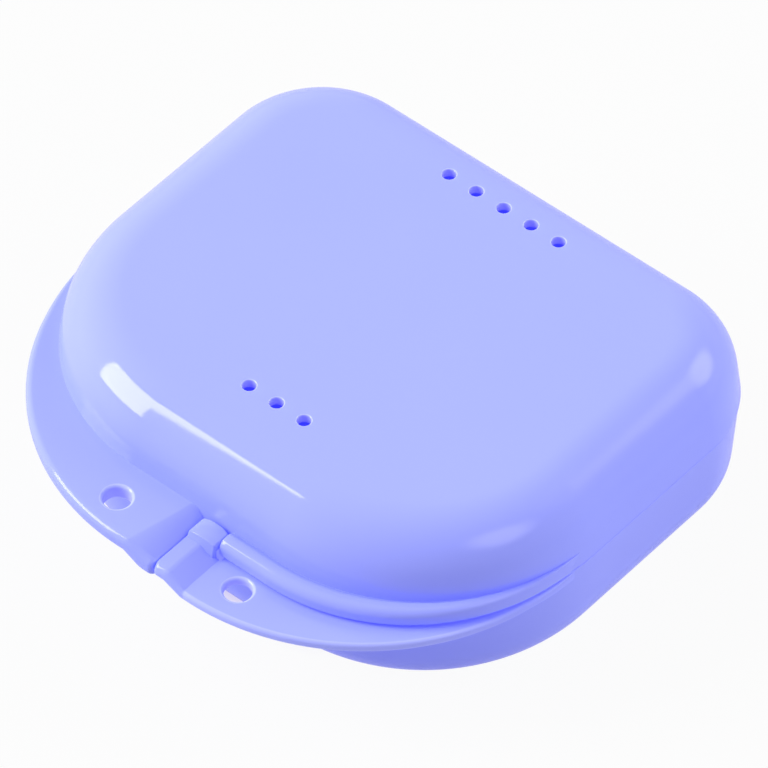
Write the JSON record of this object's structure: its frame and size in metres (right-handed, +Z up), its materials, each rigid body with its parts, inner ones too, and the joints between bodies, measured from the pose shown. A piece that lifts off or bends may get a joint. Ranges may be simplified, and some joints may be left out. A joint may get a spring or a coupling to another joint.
{
  "type": "retainer case",
  "caption": "Low round-cornered hard case for a dental retainer: vented lid hinged to a deeper base, with finger lips and a snap hook at the front.",
  "frame": {"origin": "centre of the closed case's footprint, on the surface that it stands on", "axes": "+Z up, -Y towards the clasp and the finger lips, +Y towards the hinge, +X to the right seen from the clasp"},
  "size_m": [0.0886, 0.0878, 0.0308],
  "materials": {
    "shell_plastic": "glossy moulded polypropylene, periwinkle"
  },
  "bodies": {
    "base": {"base": "shell_plastic"},
    "lid": {"lid": "shell_plastic"}
  },
  "joints": [
    {"name": "lid_hinge", "type": "hinge", "parent": "base", "child": "lid", "pos_m": [0, 0.04228, 0.01837], "axis": [-1, 0, 0], "range_deg": [0, 180]}
  ]
}
